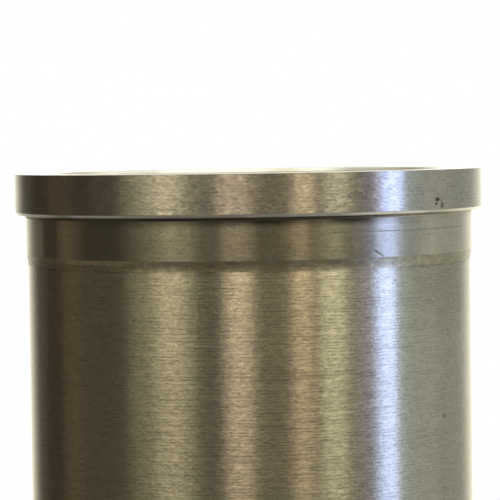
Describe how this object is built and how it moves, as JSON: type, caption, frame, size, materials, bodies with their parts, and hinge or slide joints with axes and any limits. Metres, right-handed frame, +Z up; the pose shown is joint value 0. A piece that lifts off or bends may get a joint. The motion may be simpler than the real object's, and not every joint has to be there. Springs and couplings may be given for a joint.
{
  "type": "cylinder liner",
  "caption": "Flanged wet cylinder liner with a honed bore, ground locating lands and a relieved body between them.",
  "frame": {"origin": "centre of the lower end face, which the liner stands on", "axes": "+Z up the bore's axis, from the crankcase end towards the flange; X and Y are free, because the liner is round"},
  "size_m": [0.127, 0.127, 0.225],
  "materials": {
    "turned_iron": "bare grey iron: turned body, ground flange and lands, honed bore"
  },
  "bodies": {
    "root": {"cylinder_liner": "turned_iron"}
  },
  "joints": []
}
